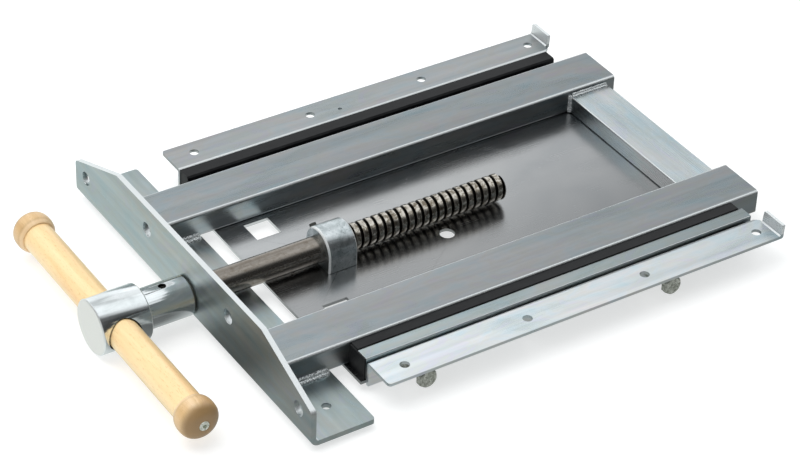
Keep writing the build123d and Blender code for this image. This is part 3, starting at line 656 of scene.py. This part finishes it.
def crossbar_weld_pieces(material):
    """Welds where the crossbar's ends meet the guide tubes: along its top and up its front corners."""
    bar_low, bar_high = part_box("rear_crossbar")
    for side in (-1, 1):
        x = bar_low.x if side < 0 else bar_high.x
        builder = bmesh.new()
        weld_run(
            builder, (x, bar_low.y + 1.0 * MM, bar_high.z), (x, bar_high.y - 1.0 * MM, bar_high.z),
            (-side, 0, 0), (0, 0, 1), 3.6 * MM, 21 + side, pitch=2.8 * MM,
        )
        weld_run(
            builder, (x, bar_low.y, bar_low.z + 1.0 * MM), (x, bar_low.y, bar_high.z + 1.5 * MM),
            (-side, 0, 0), (0, -1, 0), 3.2 * MM, 31 + side, pitch=2.4 * MM,
        )
        bmesh.ops.recalc_face_normals(builder, faces=builder.faces)
        name = "crossbar_weld_left" if side < 0 else "crossbar_weld_right"
        replaced = ("crossbar_weld_beads",) if side < 0 else ()
        new_piece(name, builder, material, "carriage", "weld_metal", *replaced, smooth_angle=60.0)


def rail_weld_pieces(material):
    """Stitch welds under the base plate, beside each rail's leg."""
    builder = bmesh.new()
    base_low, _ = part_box("base_plate")
    low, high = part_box("rail_weld_beads")
    stitches = 4
    length = 24 * MM
    step = (high.y - low.y - length) / (stitches - 1)
    for side, x in ((-1, low.x), (1, high.x)):
        for n in range(stitches):
            y = low.y + n * step
            weld_run(
                builder, (x, y, base_low.z), (x, y + length, base_low.z),
                (-side, 0, 0), (0, 0, -1), 2.1 * MM, 51 + n + 4 * side, pitch=1.8 * MM,
            )
    bmesh.ops.recalc_face_normals(builder, faces=builder.faces)
    new_piece(
        "rail_welds", builder, material, "fixed_frame", "weld_metal", "rail_weld_beads", smooth_angle=60.0
    )


def soften_edges(node, width):
    """Rounds a CAD node's sharp edges with modifiers, leaving its mesh as it is."""
    piece = NODES[node]
    weld = piece.modifiers.new("weld", "WELD")
    weld.merge_threshold = 2e-5
    bevel = piece.modifiers.new("bevel", "BEVEL")
    bevel.width = width
    bevel.segments = 2
    bevel.limit_method = "ANGLE"
    bevel.angle_limit = math.radians(28.0)
    bevel.harden_normals = True


def dress(material, *nodes):
    """Gives CAD nodes a material, on the object's own slot."""
    for node in nodes:
        piece = NODES[node]
        piece.material_slots[0].link = "OBJECT"
        piece.material_slots[0].material = material


# ---------------------------------------------------------------- stage

def area_light(name, place, target, size, power, seen_in_reflections=True):
    """A square soft box; one not seen in reflections lights only the wood, plastic and floor."""
    data = bpy.data.lights.new(name, "AREA")
    data.size = size
    data.energy = power
    light = bpy.data.objects.new(name, data)
    light.location = place
    light.rotation_mode = "QUATERNION"
    light.rotation_quaternion = (Vector(target) - Vector(place)).to_track_quat("-Z", "Y")
    light.visible_glossy = seen_in_reflections
    bpy.context.scene.collection.objects.link(light)


def studio_floor(name, z):
    """A large square on the stage, and its empty material's node tree and output."""
    mesh = bpy.data.meshes.new(name)
    builder = bmesh.new()
    bmesh.ops.create_grid(builder, x_segments=4, y_segments=4, size=6.0)
    builder.to_mesh(mesh)
    builder.free()
    floor = bpy.data.objects.new(name, mesh)
    floor.location.z = z
    bpy.context.scene.collection.objects.link(floor)
    material = bpy.data.materials.new(name)
    material.use_nodes = True
    material.node_tree.nodes.clear()
    mesh.materials.append(material)
    return floor, material.node_tree, material.node_tree.nodes.new("ShaderNodeOutputMaterial")


def pale_floor(z):
    """The floor that the camera sees: nearly white, with faint shadows."""
    floor, tree, output = studio_floor("floor", z)
    diffuse = tree.nodes.new("ShaderNodeBsdfDiffuse")
    diffuse.inputs["Color"].default_value = (0.50, 0.50, 0.50, 1.0)
    glow = tree.nodes.new("ShaderNodeEmission")
    glow.inputs["Color"].default_value = (0.99, 1.0, 1.0, 1.0)
    glow.inputs["Strength"].default_value = 0.62
    both = tree.nodes.new("ShaderNodeAddShader")
    tree.links.new(diffuse.outputs[0], both.inputs[0])
    tree.links.new(glow.outputs[0], both.inputs[1])
    tree.links.new(both.outputs[0], output.inputs["Surface"])
    floor.visible_glossy = False


def reflected_floor(z):
    """The floor that the metal reflects: darker to the right and in the shadow by the hub's neck."""
    floor, tree, output = studio_floor("reflected_floor", z)
    coords = tree.nodes.new("ShaderNodeTexCoord").outputs["Object"]
    shade = tree.nodes.new("ShaderNodeMapRange")
    shade.interpolation_type = "SMOOTHSTEP"
    set_range(shade, -0.12, 0.02, 0.90, 0.42)
    shadow = tree.nodes.new("ShaderNodeMapRange")
    set_range(shadow, 0.03, 0.075, 0.22, 1.0)
    across = measured(tree, coords, "DOT_PRODUCT", (0.95, 0.30, 0.0))
    away = measured(tree, coords, "DISTANCE", (0.055, -0.325, 0.0))
    tree.links.new(across, shade.inputs["Value"])
    tree.links.new(away, shadow.inputs["Value"])
    glow = tree.nodes.new("ShaderNodeEmission")
    glow.inputs["Color"].default_value = (0.95, 1.0, 0.98, 1.0)
    both = tree.nodes.new("ShaderNodeMath")
    both.operation = "MULTIPLY"
    tree.links.new(shade.outputs["Result"], both.inputs[0])
    tree.links.new(shadow.outputs["Result"], both.inputs[1])
    tree.links.new(both.outputs[0], glow.inputs["Strength"])
    tree.links.new(glow.outputs[0], output.inputs["Surface"])
    floor.visible_camera = False
    floor.visible_diffuse = False
    floor.visible_shadow = False


def sky():
    """Soft light: bright overhead and behind on the left, weaker in front, dim behind on the right."""
    world = bpy.data.worlds.new("studio")
    bpy.context.scene.world = world
    world.use_nodes = True
    tree = world.node_tree
    coords = tree.nodes.new("ShaderNodeTexCoord").outputs["Generated"]
    overhead = measured(tree, coords, "DOT_PRODUCT", Vector((-0.55, 0.35, 0.75)).normalized())
    ramp = tree.nodes.new("ShaderNodeValToRGB")
    stops = (
        (0.0, 0.05), (0.14, 0.03), (0.38, 0.12), (0.56, 0.92),
        (0.82, 1.12), (0.92, 0.98), (0.97, 0.68), (1.0, 0.68),
    )
    set_stops(ramp, [(place, (level * 0.96, level * 0.99, level)) for place, level in stops])
    tree.links.new(overhead, ramp.inputs["Fac"])
    tree.links.new(ramp.outputs["Color"], tree.nodes["Background"].inputs["Color"])
    user_side = measured(tree, coords, "DOT_PRODUCT", Vector((0.3, -0.9, 0.3)).normalized())
    spread = tree.nodes.new("ShaderNodeMapRange")
    set_range(spread, 0.25, 0.90, 0.0, 0.42)
    front = tree.nodes.new("ShaderNodeBackground")
    both = tree.nodes.new("ShaderNodeAddShader")
    tree.links.new(user_side, spread.inputs["Value"])
    tree.links.new(spread.outputs["Result"], front.inputs["Strength"])
    tree.links.new(tree.nodes["Background"].outputs[0], both.inputs[0])
    tree.links.new(front.outputs[0], both.inputs[1])
    tree.links.new(both.outputs[0], tree.nodes["World Output"].inputs["Surface"])


def studio():
    """The floors, the lights and the sky."""
    low, _ = cad_box
    pale_floor(low.z - 0.3 * MM)
    reflected_floor(low.z - 0.6 * MM)
    area_light("key", (-1.6, 1.4, 1.9), (0, 0, 0), 2.0, 3.2)
    area_light("fill", (-0.5, -0.9, 2.6), (0, -0.1, 0), 2.4, 41.0, seen_in_reflections=False)
    area_light("front_fill", (0.9, -2.2, 1.2), (0, -0.2, 0), 1.2, 8.0, seen_in_reflections=False)
    sky()
    bpy.context.scene.view_settings.view_transform = "Standard"


CAMERA_AZIMUTH = 55.92
CAMERA_ELEVATION = 36.19
CAMERA_ROLL = 2.47
CAMERA_DISTANCE = 2.440
CAMERA_TARGET = Vector((0.0236, -0.0921, -0.0002))
CAMERA_LENS = 123.5
CAMERA_SENSOR = 36.0


def camera():
    """The main view, from the right of the user and above; the angles are in degrees."""
    azimuth = math.radians(CAMERA_AZIMUTH)
    elevation = math.radians(CAMERA_ELEVATION)
    roll = math.radians(CAMERA_ROLL)
    level = math.cos(elevation)
    back = Vector((math.sin(azimuth) * level, -math.cos(azimuth) * level, math.sin(elevation)))
    right = Vector((math.cos(azimuth), math.sin(azimuth), 0.0))
    up = back.cross(right)
    turn = Matrix((right, up, back)).transposed() @ Matrix.Rotation(roll, 3, "Z")
    data = bpy.data.cameras.new("camera")
    data.lens = CAMERA_LENS
    data.sensor_width = CAMERA_SENSOR
    data.clip_end = 50.0
    piece = bpy.data.objects.new("camera", data)
    piece.matrix_world = Matrix.Translation(CAMERA_TARGET + back * CAMERA_DISTANCE) @ turn.to_4x4()
    bpy.context.scene.collection.objects.link(piece)
    bpy.context.scene.camera = piece


# ---------------------------------------------------------------- put together

# The `front` and `rear` factors paint shade along each zinc part, `bright` paints a highlight on upper
# faces, and `right_front` paints light on the crossbar's face towards the user.
tube_zinc = zinc_sheet("zinc_tube", "y", front=0.77, rear=0.55)
RAIL_TINT = (1.04, 1.03, 1.02)
left_rail_zinc = zinc_sheet("zinc_rail_left", "y", RAIL_TINT, front=0.84, rear=0.68, bright=2 * MM)
right_rail_zinc = zinc_sheet("zinc_rail_right", "y", RAIL_TINT, front=1.80, rear=1.06, bright=2 * MM)
plate_zinc = zinc_sheet("zinc_plate", "x", (0.94, 0.98, 0.95), 0.34, bright=8 * MM)
crossbar_zinc = zinc_sheet("zinc_crossbar", "x", (1.05, 1.07, 1.07), 0.26, right_front=2.2)
bar_zinc = zinc_sheet("zinc_bar", "y", (1.0, 1.05, 1.03), 0.30, front=1.05, rear=0.50)
weld = weld_metal()
plastic = black_plastic()
steel = oiled_steel()
casting = pitted_zinc()
turned = turned_zinc()
fastener = mottled_fastener("dark_fastener", 0.85)
black_screw = mottled_fastener("black_screw", 0.12)
# Painted light: a paler copy of the fastener colour, to make the knob screws look lit.
bright_screw = mottled_fastener("bright_screw", 1.7)
beech = wood(
    "light_beech", (1.0, 0.79, 0.46), (0.97, 0.72, 0.38), (0.93, 0.63, 0.31), (0.88, 0.62, 0.34),
    0.1 * MM,
)
knob_beech = wood(
    "knob_wood", (0.84, 0.61, 0.36), (0.72, 0.48, 0.23), (0.62, 0.39, 0.18), (0.34, 0.21, 0.09),
    KNOB_LOW.x + 2.5 * MM,
)

dress(tube_zinc, "left_guide_tube", "right_guide_tube")
dress(left_rail_zinc, "left_mounting_rail")
dress(right_rail_zinc, "right_mounting_rail")
dress(plate_zinc, "front_plate")
dress(crossbar_zinc, "rear_crossbar")
dress(bar_zinc, "adjusting_bar")
dress(base_sheet(), "base_plate")
dress(plastic, "left_slide_liner", "right_slide_liner")
dress(steel, "front_thrust_washer", "rear_thrust_washer", "retaining_ring")
dress(casting, "spindle_nut")
dress(turned, "handle_hub")
dress(bright_screw, "knob_screws")
dress(black_screw, "nut_grease_screw", "hub_set_screw")
dress(
    fastener, "adjusting_bolt_front", "adjusting_bolt_rear", "bolt_lock_nuts", "left_liner_screws",
    "nut_screws",
)
dress(beech, "handle_bar")
dress(knob_beech, "handle_knob_left", "handle_knob_right")

SHEET_NODES = (
    "left_mounting_rail", "right_mounting_rail", "front_plate", "base_plate", "adjusting_bar"
)
TUBE_NODES = ("left_guide_tube", "right_guide_tube", "rear_crossbar")
BLOCK_NODES = ("spindle_nut", "handle_hub", "left_slide_liner", "right_slide_liner")
for width, nodes in ((0.35 * MM, SHEET_NODES), (0.3 * MM, TUBE_NODES), (0.4 * MM, BLOCK_NODES)):
    for node in nodes:
        soften_edges(node, width)

spindle_piece(steel)
foot_weld_pieces(weld)
crossbar_weld_pieces(weld)
rail_weld_pieces(weld)

studio()
camera()
